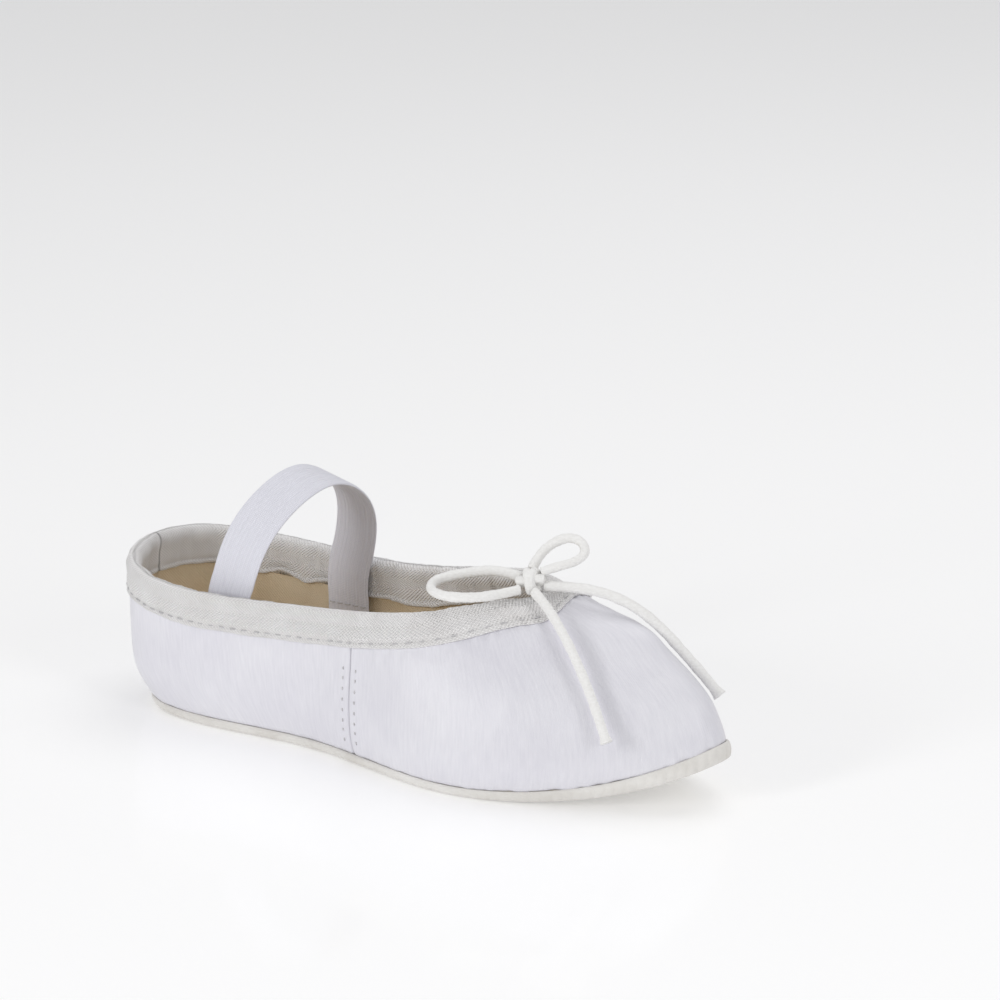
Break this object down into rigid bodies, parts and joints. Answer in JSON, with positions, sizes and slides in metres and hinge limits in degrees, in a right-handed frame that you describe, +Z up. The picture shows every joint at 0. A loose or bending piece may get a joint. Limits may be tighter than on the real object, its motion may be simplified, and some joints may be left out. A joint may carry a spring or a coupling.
{
  "type": "ballet slipper",
  "caption": "Child's soft satin ballet slipper with full suede sole, bound drawstring topline tied in a front bow, cotton lining and an elastic instep strap.",
  "frame": {"origin": "centre of the shoe's footprint on the floor", "axes": "+X from heel to toe, +Y to the shoe's left, +Z up"},
  "size_m": [0.1736, 0.0632, 0.0665],
  "materials": {
    "sole_suede": "buffed suede, pale grey white",
    "board": "pressed cotton board",
    "sock": "warm beige cotton twill",
    "satin": "white satin with a cool sheen",
    "lining": "warm beige cotton twill",
    "binding_tape": "white cotton herringbone tape",
    "cord": "white braided cotton",
    "elastic": "white ribbed elastic",
    "thread": "white sewing thread"
  },
  "bodies": {
    "root": {"outsole": "sole_suede", "insole_board": "board", "insole_sock": "sock", "vamp": "satin", "quarter_right": "satin", "quarter_left": "satin", "vamp_lining": "lining", "quarter_lining_right": "lining", "quarter_lining_left": "lining", "topline_binding": "binding_tape", "drawstring": "cord", "bow_knot": "cord", "strap_end_right": "elastic", "strap_end_left": "elastic", "side_seam_stitches": "thread", "heel_seam_stitches": "thread", "binding_stitches": "thread", "strap_stitches": "thread"},
    "strap": {"elastic_strap": "elastic"},
    "tail_right": {"bow_tail_right": "cord"},
    "tail_left": {"bow_tail_left": "cord"},
    "loop_right": {"bow_loop_right": "cord"},
    "loop_left": {"bow_loop_left": "cord"}
  },
  "joints": [
    {"name": "strap_swing", "type": "hinge", "parent": "root", "child": "strap", "pos_m": [-0.042, 0, 0.033], "axis": [0.1908, 0.9816, 0], "range_deg": [-70, 40]},
    {"name": "tail_right_lift", "type": "hinge", "parent": "root", "child": "tail_right", "pos_m": [0.0348, -0.006, 0.0497], "axis": [0, -1, 0], "range_deg": [0, 50]},
    {"name": "tail_left_swing", "type": "hinge", "parent": "root", "child": "tail_left", "pos_m": [0.0348, -0.006, 0.0497], "axis": [0.0999, -0.0799, 0.9918], "range_deg": [0, 30]},
    {"name": "loop_right_lift", "type": "hinge", "parent": "root", "child": "loop_right", "pos_m": [0.0348, -0.006, 0.0497], "axis": [-0.2701, 0.7705, 0.5774], "range_deg": [0, 40]},
    {"name": "loop_left_tilt", "type": "hinge", "parent": "root", "child": "loop_left", "pos_m": [0.0348, -0.006, 0.0497], "axis": [0, -1, 0], "range_deg": [-10, 20]}
  ]
}
